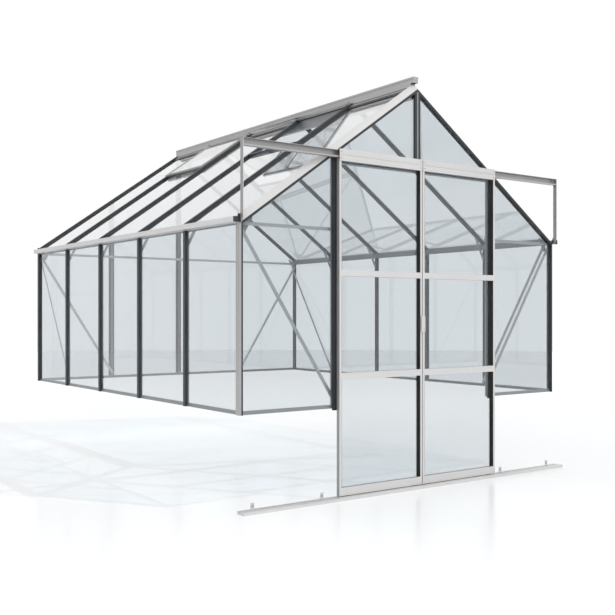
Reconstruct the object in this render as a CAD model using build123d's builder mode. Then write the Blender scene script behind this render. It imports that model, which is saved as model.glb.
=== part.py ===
from build123d import *
import os
from math import atan2, cos, degrees, hypot, radians, sin

# Half-glazed greenhouse that stands on a low masonry wall, with a pair of sliding doors that
# reach down past the wall to the ground. Units are millimetres. X runs across the gables,
# Y runs along the ridge towards the rear gable and Z is up. The origin is in the middle of
# the rear sill's underside, which is the level of the wall's top.

# ---- overall sizes ----
width = 3000.0           # over the outer faces of the two side walls
bay = 735.0              # spacing of the side wall bars and of the rafters
side_bays = 5
eaves_height = 1254.0    # where the roof's outer plane meets the wall's outer plane
pitch = 35.0

# ---- glazing bars and cappings, as depths inward from the outer face ----
cap_width = 32.0
cap_depth = 18.0
cap_wall = 3.0
cap_bevel = 2.4
cap_overhang = 12.0      # the roof cappings run this far past the eaves line
glass_thick = 4.0
bar_width = 28.0
bar_depth = 14.0         # from the glass to the foot of the bar
bar_wall = 3.0
sheet = 2.5              # wall of the thin extrusions
groove_width = 15.0      # bolt channel at the foot of the bar
groove_depth = 11.0
groove_slot = 7.0
glass_edge = 7.0         # half the gap between two panes on one bar
glass_lap = 5.0          # how far a strip or a cover holds the edge of a pane
eave_inset = 4.0         # from the wall's outer face to the foot of the roof panes
nose_width = 12.0        # bright edge between the two strips of a gable bar
strip_width = 20.0       # dark strip beside the nose
play = 0.3               # between pieces that are fitted loosely

# ---- sill, corner and verge frames ----
sill_height = 24.0
cover_width = 52.0       # bright cover on the front corners and front verges
tube_front = 26.0        # depth of the tube behind the front strips
tube_back = 43.0
corner_bevel = (10.0, 10.0)      # along the wall and along the gable
verge_bevel = (48.0, 39.0)       # along the roof and down the gable
corner_strip_width = 12.0
verge_strip_width = 17.0
rear_strip_width = 13.0
rear_pane_inset = 20.0   # from the outer faces of the rear corners and verges
verge_start = 60.0       # the verges are drawn from this far outside, then mitred

# ---- eaves ----
gutter_reach = 50.0
gutter_drop = 46.0       # underside of the gutter below the eaves line
gutter_height = 35.0
gutter_lip = 8.0
gutter_end = 4.0
gutter_stop = 50.0       # the gutter ends this far short of the rear
plate_step = 22.0        # the front end plate reaches this high beside the verge
plate_height = 54.0
plate_ear = (14.0, 20.0)         # foot and head of its sloping outer edge
eave_beam = 8.0          # height of the beam's foot below the gutter

# ---- ridge ----
ridge_box = 19.5         # half the width of the ridge beam
ridge_half = 22.0        # half the width over the fascias
ridge_lip = (24.5, 15.0)         # half width and height of the lip along the top
ridge_groove = (1.0, 4.0)        # depth and height of the groove under the lip
ridge_crown = 44.0       # top of the ridge capping above the roof's apex line
ridge_fascia = 68.0
ridge_foot = 109.0       # depth of the ridge beam below the apex line
ridge_setback = 20.0     # from the front gable to the end of the capping
flashing_edge = 58.0     # the ridge flashing reaches this far from the middle
flashing_depth = 10.5
seal_edges = (52.0, 90.0)

# ---- doors ----
jamb_width = 32.0
jamb_cap = (14.0, 14.0)  # the jamb's dark capping, towards the doors and away from them
lintel_height = 34.0
lintel_drop = 37.0       # head of the lintel below the verge, beside the jamb
lintel_play = 1.0
lintel_lap = 10.0
leaf_overlap = 5.0       # how far each leaf runs past the jamb line
door_shift = 9.0         # the closed pair stands this far to the right of the middle
leaf_gap = 5.0
leaf_foot = -585.0
leaf_front = 40.0        # the leaf's front face stands this far before the gable
leaf_thick = 30.0
leaf_drop = 5.0          # head of the leaf below the track
stile_width = 18.0
foot_rail = 55.0
low_rail_z = 195.0
low_rail = 45.0
mid_rail_z = 890.0
mid_rail = 42.0
head_rail = 18.0
bead_width = 15.0        # dark bead on the pane beside each stile
bead_thick = 3.0
lining = 1.5
header_drop = 22.0       # the header plate hangs this far below the track
header_height = 79.0
header_thick = 4.0
header_groove = 3.0
handle_foot = 508.0
handle_height = 113.0
handle_width = 18.0
handle_depth = 9.0
handle_lap = 16.0        # past the middle of the gap, in front of the other leaf
handle_thick = 4.0

# ---- door track, struts and ground rail ----
track_height = 50.0
track_reach = 34.0
track_wall = 3.0
track_lip = 10.0
track_bead = 6.0
strut_width = 33.0
strut_thick = 3.0
strut_tip = 10.0         # both above the gutter's foot
strut_shoulder = 32.0
roller_radius = 14.0
roller_thick = 10.0
roller_groove = 3.0
roller_inset = 70.0
axle_radius = 4.0
rail_top = -590.0
rail_height = 20.0
rail_reach = 80.0
rail_end = 1520.0
rail_groove = 14.0
rail_groove_depth = 14.0
guide_thick = 4.0
guide_length = 60.0
guide_depth = 14.0
guide_inset = 60.0
lug_width = 28.0
lug_height = 38.0
lug_hole = 4.0
lug_insets = (110.0, 655.0)      # from the ends of the rail

# ---- roof vents ----
vent_run = 643.0         # from the apex line to the foot of a vent, down the slope
vent_head = 35.0         # the vents are hinged this far from the middle
vent_frame = 22.0
vent_rise = 14.0
curb_top = -1.7          # depth of the curb's upper face: it stands proud of the roof
curb_width = 12.0
hinge_top = -6.0
hinge_edge = 28.0
right_vents = {3: 11.7}          # bay, counted from 0 at the front, and how far it is open
left_vents = {1: 16.5, 3: 0.0}

# ---- bracing ----
brace_width = 25.0
brace_thick = 3.0
gable_brace_drop = 35.0  # the heads of the wall braces, measured down from the eave beam
near_brace_drop = -5.0
far_brace_drop = 90.0
jamb_brace_foot = 80.0
rear_brace_foot = 50.0
wall_brace_foot = 40.0
jamb_brace_shift = 5.0   # from the jamb's middle to the fixing
roof_brace_low = 60.0    # up the slope from the eaves
roof_brace_verge = 0.41  # as a share of the slope
roof_brace_top = 81.0    # down the slope from the apex line
near_brace_inset = 62.0
tie_drop = 4.0           # below the eave beam
tie_height = 22.0
tie_thick = 12.0
knee_drop = 100.0        # below the eave beam
knee_reach = 110.0
knee_thick = 12.0
knee_width = 36.0        # along the wall bar
knee_head = 30.0         # along the rafter, measured level

# ---- worked out from the sizes above ----
length = bay * side_bays
half = width / 2
gable_bay = width / 4
glass_back = cap_depth + glass_thick
bar_foot = glass_back + bar_depth
rear = (cap_depth + bar_foot) / 2    # outer face of the rear gable
front = rear - length                # outer face of the front gable
inner = half - bar_foot
run = cos(radians(pitch))
rise = sin(radians(pitch))
apex = eaves_height + half * rise / run
crown = apex + ridge_crown
roof_run = half / run
gutter_foot = eaves_height - gutter_drop
gutter_top = gutter_foot + gutter_height
beam_foot = gutter_foot - eave_beam
bay_starts = [front + bay * n for n in range(side_bays)]
bay_lines = bay_starts[1:]
bar_cover = nose_width / 2 + strip_width
jamb_edge = gable_bay + jamb_width / 2
corner_inset = corner_bevel[1] + corner_strip_width
verge_inset = verge_bevel[1] + verge_strip_width
rear_inset = cap_depth + rear_strip_width
leaf_width = gable_bay + leaf_overlap - leaf_gap / 2
leaf_in = leaf_gap / 2
leaf_out = leaf_in + leaf_width
leaf_back = leaf_front - leaf_thick
bead_y = -(leaf_front - leaf_thick / 2)   # middle of the rollers, the bead and the rail's groove
glass_y = -leaf_back - glass_thick        # front face of the leaf's panes
across = Plane.YZ
along = Plane(origin=(0, (front + rear) / 2, 0), z_dir=(0, 1, 0))


def up_slope(x, inset=0.0):
    """Height of the roof at a distance x from the middle, lowered square to the slope."""
    return apex - abs(x) * rise / run - inset / run


def frame_joint(post_near, post_far, verge_near, verge_far):
    """Plane on which the right post's edges meet the right verge's edges."""
    outer_z = up_slope(half - post_near, verge_near)
    inner_z = up_slope(half - post_far, verge_far)
    return Plane(origin=(half - post_near, 0, outer_z), x_dir=(0, 1, 0),
                 z_dir=(inner_z - outer_z, 0, post_far - post_near))


front_joint = frame_joint(corner_bevel[1], corner_inset, verge_bevel[1], verge_inset)
rear_joint = frame_joint(0, cap_depth, 0, cap_depth)
lintel_head = up_slope(gable_bay - jamb_width / 2, verge_inset) - lintel_drop
lintel_foot = lintel_head - lintel_height
track_foot = lintel_head
track_head = track_foot + track_height
header_foot = track_foot - header_drop
header_head = header_foot + header_height
leaf_head = track_foot - leaf_drop

os.makedirs("parts", exist_ok=True)


# ---- section planes: sketch Y (or X) runs inward from the outer face ----
def wall_line(y, z):
    """Level section of the right wall: sketch X along the wall, sketch Y inward."""
    return Plane(origin=(half, y, z), x_dir=(0, 1, 0), z_dir=(0, 0, 1))


def gable_line(x, z):
    """Level section of the front gable: sketch X along the gable, sketch Y inward."""
    return Plane(origin=(x, front, z), x_dir=(1, 0, 0), z_dir=(0, 0, 1))


def slope_line(y, up):
    """Section square to the right slope: sketch X along the building, sketch Y inward."""
    place = (half - up * run, y, eaves_height + up * rise)
    return Plane(origin=place, x_dir=(0, 1, 0), z_dir=(-run, 0, rise))


def eave_line(inset):
    """Upright section across the right wall: sketch X inward, sketch Y up."""
    return Plane(origin=(half, front + inset, 0), x_dir=(-1, 0, 0), z_dir=(0, 1, 0))


def sill_line(x):
    """Upright section across the front gable: sketch X inward, sketch Y up."""
    return Plane(origin=(x, front, 0), x_dir=(0, 1, 0), z_dir=(1, 0, 0))


def gable_face(depth):
    """The front gable's plane at a depth, looking inward: sketch X is X, sketch Y is Z."""
    return Plane(origin=(0, front + depth, 0), x_dir=(1, 0, 0), z_dir=(0, -1, 0))


def rect(x0, x1, y0, y1, mode=Mode.ADD):
    """A rectangle given by its edges."""
    with Locations(((x0 + x1) / 2, (y0 + y1) / 2)):
        Rectangle(x1 - x0, y1 - y0, mode=mode)


def box(x0, x1, y0, y1, z0, z1, mode=Mode.ADD):
    """A rectangular solid given by its faces."""
    with Locations(((x0 + x1) / 2, (y0 + y1) / 2, (z0 + z1) / 2)):
        Box(x1 - x0, y1 - y0, z1 - z0, mode=mode)


# ---- extruded sections, each returned on its own plane ----
def bar_section(plane):
    """Glazing bar: seat behind the glass and a bolt channel open to the inside."""
    channel = bar_foot - groove_depth
    with BuildSketch(plane) as section:
        rect(-bar_width / 2, bar_width / 2, glass_back, glass_back + bar_wall)
        rect(-groove_width / 2, groove_width / 2, channel, bar_foot)
        rect(-groove_width / 2 + sheet, groove_width / 2 - sheet, channel + sheet,
             bar_foot - sheet, mode=Mode.SUBTRACT)
        rect(-groove_slot / 2, groove_slot / 2, bar_foot - sheet, bar_foot, mode=Mode.SUBTRACT)
    return section.sketch


def cap_section(plane):
    """Capping: a channel with bevelled shoulders that clamps the glass on to its bar."""
    with BuildSketch(plane) as section:
        rect(-cap_width / 2, cap_width / 2, 0, cap_depth)
        chamfer(section.vertices().group_by(Axis.Y)[0], cap_bevel)
        rect(-cap_width / 2 + cap_wall, cap_width / 2 - cap_wall, cap_wall, cap_depth,
             mode=Mode.SUBTRACT)
    return section.sketch


def nose_section(plane):
    """Bright edge of a gable bar, with the web that passes between two panes."""
    with BuildSketch(plane) as section:
        rect(-nose_width / 2, nose_width / 2, 0, sheet)
        rect(-bar_wall / 2, bar_wall / 2, 0, glass_back)
    return section.sketch


def sill_section(plane):
    """Sill: a channel on its side, with its bolt slot open to the inside."""
    middle = sill_height / 2
    with BuildSketch(plane) as section:
        rect(cap_depth, bar_foot, 0, sill_height)
        rect(cap_depth + sheet, bar_foot - sheet, sheet, sill_height - sheet, mode=Mode.SUBTRACT)
        rect(bar_foot - sheet, bar_foot, middle - groove_slot / 2, middle + groove_slot / 2,
             mode=Mode.SUBTRACT)
    return section.sketch


def rear_frame(plane):
    """Rear corner and verge frame: a tube, and the fin behind the gable glass."""
    with BuildSketch(plane) as section:
        rect(glass_back, bar_foot, glass_back, bar_foot)
        rect(glass_back + sheet, bar_foot - sheet, glass_back + sheet, bar_foot - sheet,
             mode=Mode.SUBTRACT)
        rect(glass_back, glass_back + sheet, cap_depth, glass_back)
    return section.sketch


def front_frame(plane, bevel, near, far):
    """Front corner and verge frame: a tube, and a bent cover that holds the outer pane."""
    across_bevel, down_bevel = bevel
    slant = hypot(across_bevel, down_bevel)
    with BuildSketch(plane) as section:
        with BuildLine():
            Polyline((0, down_bevel), (across_bevel, 0), (cover_width, 0),
                     (cover_width, cap_depth), (cover_width - sheet, cap_depth),
                     (cover_width - sheet, sheet),
                     (across_bevel + sheet * (slant - across_bevel) / down_bevel, sheet),
                     (sheet * slant / down_bevel, down_bevel), close=True)
        make_face()
        rect(tube_front, tube_back, near, far)
        rect(tube_front + sheet, tube_back - sheet, near + sheet, far - sheet,
             mode=Mode.SUBTRACT)
    return section.sketch


def front_strip(plane, near, far):
    """Dark strip along a front corner or verge, grooved for the edge of the gable pane."""
    with BuildSketch(plane) as section:
        rect(0, tube_front, near, far)
        rect(cap_depth, glass_back, far - glass_lap - play, far, mode=Mode.SUBTRACT)
    return section.sketch


def rear_strip(plane):
    """Dark strip along a rear corner or verge."""
    with BuildSketch(plane) as section:
        rect(0, cap_depth, cap_depth, rear_inset)
    return section.sketch


def roof_outline(plane, inset):
    """The gable's outline, with its two roof edges lowered square to the slope."""
    with BuildSketch(plane) as outline:
        with BuildLine():
            Polyline((-half, leaf_foot), (half, leaf_foot), (half, up_slope(half, inset)),
                     (0, up_slope(0, inset)), (-half, up_slope(half, inset)), close=True)
        make_face()
    return outline.sketch



# ---- sills ----
with BuildPart() as side_sills:
    extrude(sill_section(eave_line(tube_back)), amount=length - tube_back - bar_foot)
    mirror(about=across)
side_sills.part.label = "side_sills"
export_step(side_sills.part, "parts/side_sills.step")

with BuildPart() as gable_sills:
    rear_sill = extrude(sill_section(sill_line(-inner)), amount=2 * inner, mode=Mode.PRIVATE)
    extrude(sill_section(sill_line(jamb_edge)), amount=half - corner_inset - jamb_edge)
    mirror(about=across)
    mirror(rear_sill, about=along)
gable_sills.part.label = "gable_sills"
export_step(gable_sills.part, "parts/gable_sills.step")


# ---- corner posts and verges: covered at the front, plain at the rear ----
def corner_piece(section, joint):
    """An upright on the right wall, mitred at the eaves and cut off under the gutter."""
    with BuildPart() as post:
        extrude(section, amount=apex)
        split(bisect_by=joint, keep=Keep.BOTTOM)
        box(half - cap_depth, half, front, front + cover_width, gutter_foot, apex,
            mode=Mode.SUBTRACT)
    return post.part


def verge_pair(section, joint):
    """Two slopes of the front gable, mitred on to the posts and to each other."""
    with BuildPart() as pair:
        extrude(section, amount=roof_run + verge_start + verge_inset)
        split(bisect_by=joint, keep=Keep.TOP)
        split(bisect_by=across, keep=Keep.TOP)
        split(bisect_by=Plane(origin=(half, 0, 0), z_dir=(-1, 0, 0)), keep=Keep.TOP)
        box(half - cap_depth, half, front, front + cover_width, 0, gutter_foot + sheet,
            mode=Mode.SUBTRACT)
        mirror(about=across)
    return pair.part


corner_start = wall_line(front, 0)
slope_start = slope_line(front, -verge_start)
with BuildPart() as corner_posts:
    add(corner_piece(front_frame(corner_start, corner_bevel, 0, corner_inset), front_joint))
    mirror(corner_piece(rear_frame(corner_start), rear_joint), about=along)
    mirror(about=across)
corner_posts.part.label = "corner_posts"
export_step(corner_posts.part, "parts/corner_posts.step")

with BuildPart() as verges:
    add(verge_pair(front_frame(slope_start, verge_bevel, cap_depth, verge_inset), front_joint))
    mirror(verge_pair(rear_frame(slope_start), rear_joint), about=along)
verges.part.label = "verges"
export_step(verges.part, "parts/verges.step")

# ---- wall bars, rafters and their cappings ----
rear_cap = rear - cap_width / 2

with BuildPart() as wall_bars:
    for y in bay_lines:
        extrude(bar_section(wall_line(y, sill_height)), amount=beam_foot - sill_height)
    mirror(about=across)
wall_bars.part.label = "wall_bars"
export_step(wall_bars.part, "parts/wall_bars.step")

with BuildPart() as wall_caps:
    extrude(cap_section(wall_line(rear_cap, 0)), amount=up_slope(half, glass_back))
    for y in bay_lines:
        extrude(cap_section(wall_line(y, 0)), amount=gutter_foot)
    mirror(about=across)
wall_caps.part.label = "wall_caps"
export_step(wall_caps.part, "parts/wall_caps.step")

with BuildPart() as rafters:
    for y in bay_lines:
        extrude(bar_section(slope_line(y, 0)), amount=roof_run + bar_foot)
    split(bisect_by=Plane(origin=(inner, 0, 0), z_dir=(-1, 0, 0)), keep=Keep.TOP)
    split(bisect_by=Plane(origin=(ridge_box, 0, 0), z_dir=(1, 0, 0)), keep=Keep.TOP)
    mirror(about=across)
rafters.part.label = "rafters"
export_step(rafters.part, "parts/rafters.step")

with BuildPart() as roof_caps:
    for y in bay_lines + [rear_cap]:
        extrude(cap_section(slope_line(y, -cap_overhang)), amount=roof_run)
    split(bisect_by=Plane(origin=(ridge_half + play, 0, 0), z_dir=(1, 0, 0)), keep=Keep.TOP)
    mirror(about=across)
roof_caps.part.label = "roof_caps"
export_step(roof_caps.part, "parts/roof_caps.step")


# ---- gable bars, with a bright nose between two dark strips ----
def gable_nose(x, foot, inset):
    """The bright edge of a gable bar, cut to the slope at its top."""
    with BuildPart() as nose:
        extrude(nose_section(gable_line(x, foot)), amount=apex)
        extrude(roof_outline(gable_face(0), inset), amount=-bar_foot, mode=Mode.INTERSECT)
    return nose.part


def gable_bar(x, foot, inset, nose_inset):
    """A whole bar of the front gable, from the sill or the lintel up to the verge."""
    with BuildPart() as bar:
        extrude(bar_section(gable_line(x, foot)), amount=apex)
        extrude(roof_outline(gable_face(0), inset), amount=-bar_foot, mode=Mode.INTERSECT)
        add(gable_nose(x, foot, nose_inset))
    return bar.part


def gable_strip(x, side, foot, inset):
    """One dark strip beside a bar's nose, cut to the slope at its top."""
    near = x + side * nose_width / 2
    far = near + side * strip_width
    with BuildPart() as strip:
        box(min(near, far), max(near, far), front, front + cap_depth, foot, apex)
        extrude(roof_outline(gable_face(0), inset), amount=-bar_foot, mode=Mode.INTERSECT)
    return strip.part


with BuildPart() as gable_bars:
    add(gable_bar(0, lintel_head, verge_inset, verge_inset))
    for x in (-gable_bay, 0, gable_bay):
        mirror(gable_bar(x, sill_height, bar_foot, rear_inset), about=along)
gable_bars.part.label = "gable_bars"
export_step(gable_bars.part, "parts/gable_bars.step")

with BuildPart() as door_jambs:
    with BuildSketch(gable_line(gable_bay, 0)):
        rect(-jamb_width / 2, jamb_width / 2, glass_back, bar_foot)
        rect(-jamb_width / 2 + sheet, jamb_width / 2 - sheet, glass_back + sheet,
             bar_foot - sheet, mode=Mode.SUBTRACT)
    extrude(amount=apex)
    extrude(roof_outline(gable_face(0), verge_inset), amount=-bar_foot, mode=Mode.INTERSECT)
    mirror(about=across)
door_jambs.part.label = "door_jambs"
export_step(door_jambs.part, "parts/door_jambs.step")

with BuildPart() as door_lintel:
    clear = gable_bay - jamb_width / 2
    flange = gable_bay - jamb_cap[0]
    flange_head = up_slope(flange, verge_inset) - lintel_play
    with BuildSketch(sill_line(0)):
        rect(glass_back, bar_foot, lintel_foot, lintel_head)
        rect(glass_back + sheet, bar_foot - sheet, lintel_foot + sheet, lintel_head - sheet,
             mode=Mode.SUBTRACT)
    extrude(amount=clear, both=True)
    with BuildSketch(sill_line(0)):
        rect(0, glass_back, lintel_foot, lintel_foot + sheet)
        rect(0, sheet, lintel_foot, flange_head)
    extrude(amount=flange, both=True)
    box(-bar_cover, bar_cover, front, front + sheet, lintel_head, flange_head,
        mode=Mode.SUBTRACT)
door_lintel.part.label = "door_lintel"
export_step(door_lintel.part, "parts/door_lintel.step")


# ---- dark strips on the gables ----
def jamb_capping():
    """The dark capping on the right jamb, with one leg on the pane and one on the jamb."""
    door_edge, pane_edge = jamb_cap
    with BuildPart() as capping:
        with BuildSketch(gable_line(gable_bay, 0)):
            rect(-door_edge, pane_edge, 0, cap_depth)
            rect(-door_edge + cap_wall, pane_edge - cap_wall, cap_wall, cap_depth,
                 mode=Mode.SUBTRACT)
            rect(-door_edge, -door_edge + cap_wall, 0, glass_back)
        extrude(amount=apex)
        extrude(roof_outline(gable_face(0), verge_inset), amount=-bar_foot,
                mode=Mode.INTERSECT)
    return capping.part


right_capping = jamb_capping()
with BuildPart() as gable_strips:
    for x in (-gable_bay, 0, gable_bay):
        for side in (-1, 1):
            mirror(gable_strip(x, side, 0, rear_inset), about=along)
    for side in (-1, 1):
        add(gable_strip(0, side, lintel_head, verge_inset))
    add(right_capping)
    mirror(right_capping, about=across)
gable_strips.part.label = "gable_strips"
export_step(gable_strips.part, "parts/gable_strips.step")

front_corner = front_strip(corner_start, corner_bevel[1], corner_inset)
front_verge = front_strip(slope_start, verge_bevel[1], verge_inset)
with BuildPart() as corner_strips:
    add(corner_piece(front_corner, front_joint))
    mirror(corner_piece(rear_strip(corner_start), rear_joint), about=along)
    mirror(about=across)
corner_strips.part.label = "corner_strips"
export_step(corner_strips.part, "parts/corner_strips.step")

with BuildPart() as verge_strips:
    add(verge_pair(front_verge, front_joint))
    mirror(verge_pair(rear_strip(slope_start), rear_joint), about=along)
verge_strips.part.label = "verge_strips"
export_step(verge_strips.part, "parts/verge_strips.step")


# ---- eaves: a box beam under the glass and a gutter outside it ----
def under_glass(a):
    """Height of the roof glass's underside at a distance in from the wall's outer face."""
    return up_slope(half - a, glass_back)


with BuildPart() as eave_beams:
    with BuildSketch(eave_line(tube_back)):
        with BuildLine():
            Polyline((cap_depth, beam_foot), (bar_foot, beam_foot),
                     (bar_foot, under_glass(bar_foot)), (cap_depth, under_glass(cap_depth)),
                     close=True)
        make_face()
        offset(amount=-sheet, mode=Mode.SUBTRACT)
    extrude(amount=length - tube_back - bar_foot)
    mirror(about=across)
eave_beams.part.label = "eave_beams"
export_step(eave_beams.part, "parts/eave_beams.step")

with BuildPart() as gutters:
    with BuildSketch(eave_line(0)):
        rect(-gutter_reach, cap_depth, gutter_foot, gutter_foot + sheet)
        rect(-gutter_reach, -gutter_reach + sheet, gutter_foot, gutter_top)
        rect(-gutter_reach, -gutter_reach + gutter_lip, gutter_top - sheet, gutter_top)
    extrude(amount=length - gutter_stop)
    mirror(about=across)
gutters.part.label = "gutters"
export_step(gutters.part, "parts/gutters.step")


def gutter_plate(inset, edge):
    """End plate of the right gutter, which reaches in from the gutter to an edge."""
    with BuildPart() as plate:
        with BuildSketch(eave_line(inset)):
            with BuildLine():
                Polyline((-gutter_reach, gutter_foot), (edge, gutter_foot),
                         (edge, gutter_foot + plate_step), (0, gutter_foot + plate_height),
                         (-plate_ear[0], gutter_foot + plate_height),
                         (-plate_ear[1], gutter_top), (-gutter_reach, gutter_top), close=True)
            make_face()
        extrude(amount=gutter_end)
    return plate.part


with BuildPart() as gutter_ends:
    add(gutter_plate(-gutter_end, cap_depth))
    add(gutter_plate(length - gutter_stop, 0))
    mirror(about=across)
gutter_ends.part.label = "gutter_ends"
export_step(gutter_ends.part, "parts/gutter_ends.step")


# ---- ridge: a box beam, the capping over it and the flashing along the glass ----
def ridge_line(y):
    """Upright section across the ridge, running from y towards the front."""
    return Plane(origin=(0, y, 0), x_dir=(1, 0, 0), z_dir=(0, -1, 0))


def ridge_cap_section(plane, foot):
    """Ridge capping down to a level: a lip along the top, a groove and two fascias."""
    lip_half, lip_height = ridge_lip
    groove_in, groove_height = ridge_groove
    groove_head = crown - lip_height
    with BuildSketch(plane) as section:
        rect(-ridge_half, ridge_half, foot, crown)
        rect(-lip_half, lip_half, groove_head, crown)
        for side in (-1, 1):
            edges = sorted((side * ridge_half, side * (ridge_half - groove_in)))
            rect(*edges, groove_head - groove_height, groove_head, mode=Mode.SUBTRACT)
        rect(-ridge_box, ridge_box, foot, crown - sheet, mode=Mode.SUBTRACT)
    return section.sketch


with BuildPart() as ridge_beam:
    with BuildSketch(ridge_line(rear - bar_foot)):
        rect(-ridge_box, ridge_box, apex - ridge_foot, crown - sheet)
        rect(-ridge_box + sheet, ridge_box - sheet, apex - ridge_foot + sheet,
             crown - 2 * sheet, mode=Mode.SUBTRACT)
    extrude(amount=length - bar_foot - cover_width)
ridge_beam.part.label = "ridge_beam"
export_step(ridge_beam.part, "parts/ridge_beam.step")

with BuildPart() as ridge_cap:
    cap_end = front + ridge_setback
    extrude(ridge_cap_section(ridge_line(rear), crown - ridge_fascia),
            amount=length - cover_width)
    extrude(ridge_cap_section(ridge_line(front + cover_width), apex + play),
            amount=cover_width - ridge_setback)
    box(-ridge_box, ridge_box, cap_end, cap_end + sheet, apex + play, crown - sheet)
    box(-ridge_box, ridge_box, rear - sheet, rear, apex, crown - sheet)
ridge_cap.part.label = "ridge_cap"
export_step(ridge_cap.part, "parts/ridge_cap.step")


def ridge_strip(depths, edges, bays):
    """A strip lying along the right slope beside the ridge, one length for each bay."""
    with BuildPart() as strip:
        for n in bays:
            y0 = bay_starts[n] + (cover_width if n == 0 else cap_width / 2)
            y1 = bay_starts[n] + bay - (cap_width if n == side_bays - 1 else cap_width / 2)
            with BuildSketch(slope_line(0, roof_run)):
                rect(y0, y1, *depths)
            extrude(amount=-edges[1] / run)
        split(bisect_by=Plane(origin=(edges[0], 0, 0), z_dir=(1, 0, 0)), keep=Keep.TOP)
    return strip.part


def plain_bays(vents):
    """The bays without a vent."""
    return [n for n in range(side_bays) if n not in vents]


def both_slopes(strip, depths, edges):
    """The strips of both slopes, left out where there is a vent."""
    with BuildPart() as strips:
        add(strip(depths, edges, plain_bays(right_vents)))
        mirror(strip(depths, edges, plain_bays(left_vents)), about=across)
    return strips.part


beside_ridge = ridge_half + play
ridge_flashing = both_slopes(ridge_strip, (flashing_depth, flashing_depth + sheet),
                             (beside_ridge, flashing_edge))
ridge_flashing.label = "ridge_flashing"
export_step(ridge_flashing, "parts/ridge_flashing.step")

with BuildPart() as ridge_seals:
    add(both_slopes(ridge_strip, (flashing_depth + sheet, cap_depth), seal_edges))
    for side in (-1, 1):
        edges = sorted((side * ridge_box, side * ridge_half))
        box(*edges, front + cover_width, rear, up_slope(ridge_box, cap_depth),
            crown - ridge_fascia)
ridge_seals.part.label = "ridge_seals"
export_step(ridge_seals.part, "parts/ridge_seals.step")

# ---- glass ----
def pane_ends(n):
    """Ends of the panes of a side bay, counted from 0 at the front."""
    near = cover_width - sheet - glass_lap if n == 0 else glass_edge
    far = glass_back + sheet if n == side_bays - 1 else glass_edge
    return bay_starts[n] + near, bay_starts[n] + bay - far


with BuildPart() as wall_glass:
    for n in range(side_bays):
        box(half - glass_back, half - cap_depth, *pane_ends(n), sill_height, beam_foot)
    mirror(about=across)
wall_glass.part.label = "wall_glass"
export_step(wall_glass.part, "parts/wall_glass.step")


def slope_panes(vents):
    """The panes of the right slope, which stop short below the vents."""
    with BuildPart() as panes:
        for n in range(side_bays):
            with BuildSketch(slope_line(0, 0)):
                rect(*pane_ends(n), cap_depth, glass_back)
            extrude(amount=roof_run - vent_run if n in vents else roof_run)
        split(bisect_by=Plane(origin=(half - eave_inset, 0, 0), z_dir=(-1, 0, 0)),
              keep=Keep.TOP)
        split(bisect_by=Plane(origin=(ridge_box + glass_thick, 0, 0), z_dir=(1, 0, 0)),
              keep=Keep.TOP)
    return panes.part


with BuildPart() as roof_glass:
    add(slope_panes(right_vents))
    mirror(slope_panes(left_vents), about=across)
roof_glass.part.label = "roof_glass"
export_step(roof_glass.part, "parts/roof_glass.step")

# ---- roof vents, hinged beside the ridge capping ----
vent_foot = curb_top - play
vent_hinge = Axis((vent_head, 0, up_slope(vent_head, vent_foot)), (0, 1, 0))


def vent_sides(n):
    """Sides of a vent in a bay, just clear of the cappings beside it."""
    clear = cap_width / 2 + play
    return bay_starts[n] + clear, bay_starts[n] + bay - clear


# the vents and their curbs are cut off upright where the vents are hinged
hinge_plane = Plane(origin=(vent_head, 0, 0), z_dir=(1, 0, 0))


def vent_frame_part(n):
    """Frame of a right vent, lying shut: two side rails, a head and a foot."""
    y0, y1 = vent_sides(n)
    with BuildPart() as ring:
        with BuildSketch(slope_line(0, roof_run - vent_run)):
            rect(y0, y1, vent_foot - vent_rise, vent_foot)
        extrude(amount=vent_run)
        with BuildSketch(slope_line(0, roof_run - vent_run + vent_frame)):
            rect(y0 + vent_frame, y1 - vent_frame, vent_foot - vent_rise, vent_foot)
        extrude(amount=vent_run - 2 * vent_frame - vent_head / run, mode=Mode.SUBTRACT)
        split(bisect_by=hinge_plane, keep=Keep.TOP)
    return ring.part


def vent_pane_part(n):
    """The pane of a right vent, in the middle of its frame."""
    y0, y1 = vent_sides(n)
    middle = vent_foot - vent_rise / 2
    with BuildPart() as pane:
        with BuildSketch(slope_line(0, roof_run - vent_run + vent_frame)):
            rect(y0 + vent_frame, y1 - vent_frame, middle - glass_thick / 2,
                 middle + glass_thick / 2)
        extrude(amount=vent_run - 2 * vent_frame - vent_head / run)
    return pane.part


def vent_curb_part(n):
    """The curb a right vent shuts on: two side rails and a foot, above the rafters."""
    y0, y1 = vent_sides(n)
    with BuildPart() as curb:
        with BuildSketch(slope_line(0, roof_run - vent_run)):
            rect(y0, y1, curb_top, glass_back)
        extrude(amount=vent_run)
        with BuildSketch(slope_line(0, roof_run - vent_run + curb_width)):
            rect(y0 + curb_width, y1 - curb_width, curb_top, glass_back)
        extrude(amount=vent_run, mode=Mode.SUBTRACT)
        split(bisect_by=hinge_plane, keep=Keep.TOP)
    return curb.part


def place_vents(piece):
    """A vent's piece in every vent, turned with the vent about its hinge."""
    with BuildPart() as vents:
        for n, angle in right_vents.items():
            add(piece(n).rotate(vent_hinge, -angle))
        for n, angle in left_vents.items():
            mirror(piece(n).rotate(vent_hinge, -angle), about=across)
    return vents.part


vent_frames = place_vents(vent_frame_part)
vent_frames.label = "vent_frames"
export_step(vent_frames, "parts/vent_frames.step")
vent_glass = place_vents(vent_pane_part)
vent_glass.label = "vent_glass"
export_step(vent_glass, "parts/vent_glass.step")

with BuildPart() as vent_curbs:
    for n in right_vents:
        add(vent_curb_part(n))
    for n in left_vents:
        mirror(vent_curb_part(n), about=across)
vent_curbs.part.label = "vent_curbs"
export_step(vent_curbs.part, "parts/vent_curbs.step")

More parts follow.
